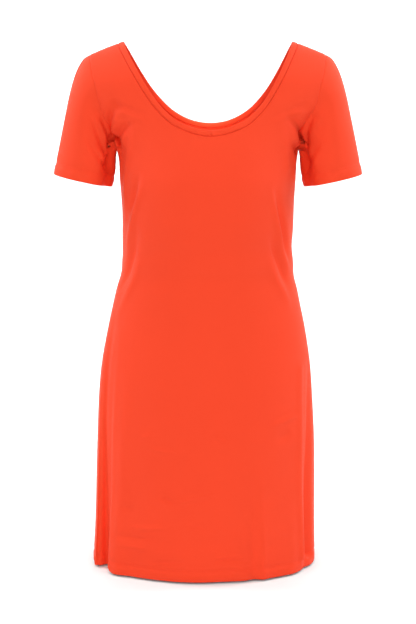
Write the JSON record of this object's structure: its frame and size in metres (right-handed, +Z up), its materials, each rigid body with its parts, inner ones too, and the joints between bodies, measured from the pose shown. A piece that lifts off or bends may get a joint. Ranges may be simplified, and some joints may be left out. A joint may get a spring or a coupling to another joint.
{
  "type": "short-sleeved jersey dress",
  "caption": "Short jersey dress with short sleeves and a deep scoop neck, slightly flared to the hem, filled out as worn with open neck, cuffs and hem.",
  "frame": {"origin": "midway between the wearer's shoulders, level with the neck ends of the shoulder seams", "axes": "+Z up along the body, -Y the front of the dress, +X the wearer's left"},
  "size_m": [0.5156, 0.2499, 0.8821],
  "materials": {
    "jersey": "matt orange-red stretch jersey with a faint soft sheen"
  },
  "bodies": {
    "root": {"front_panel": "jersey", "back_panel": "jersey", "left_sleeve": "jersey", "right_sleeve": "jersey", "neck_binding": "jersey"}
  },
  "joints": []
}
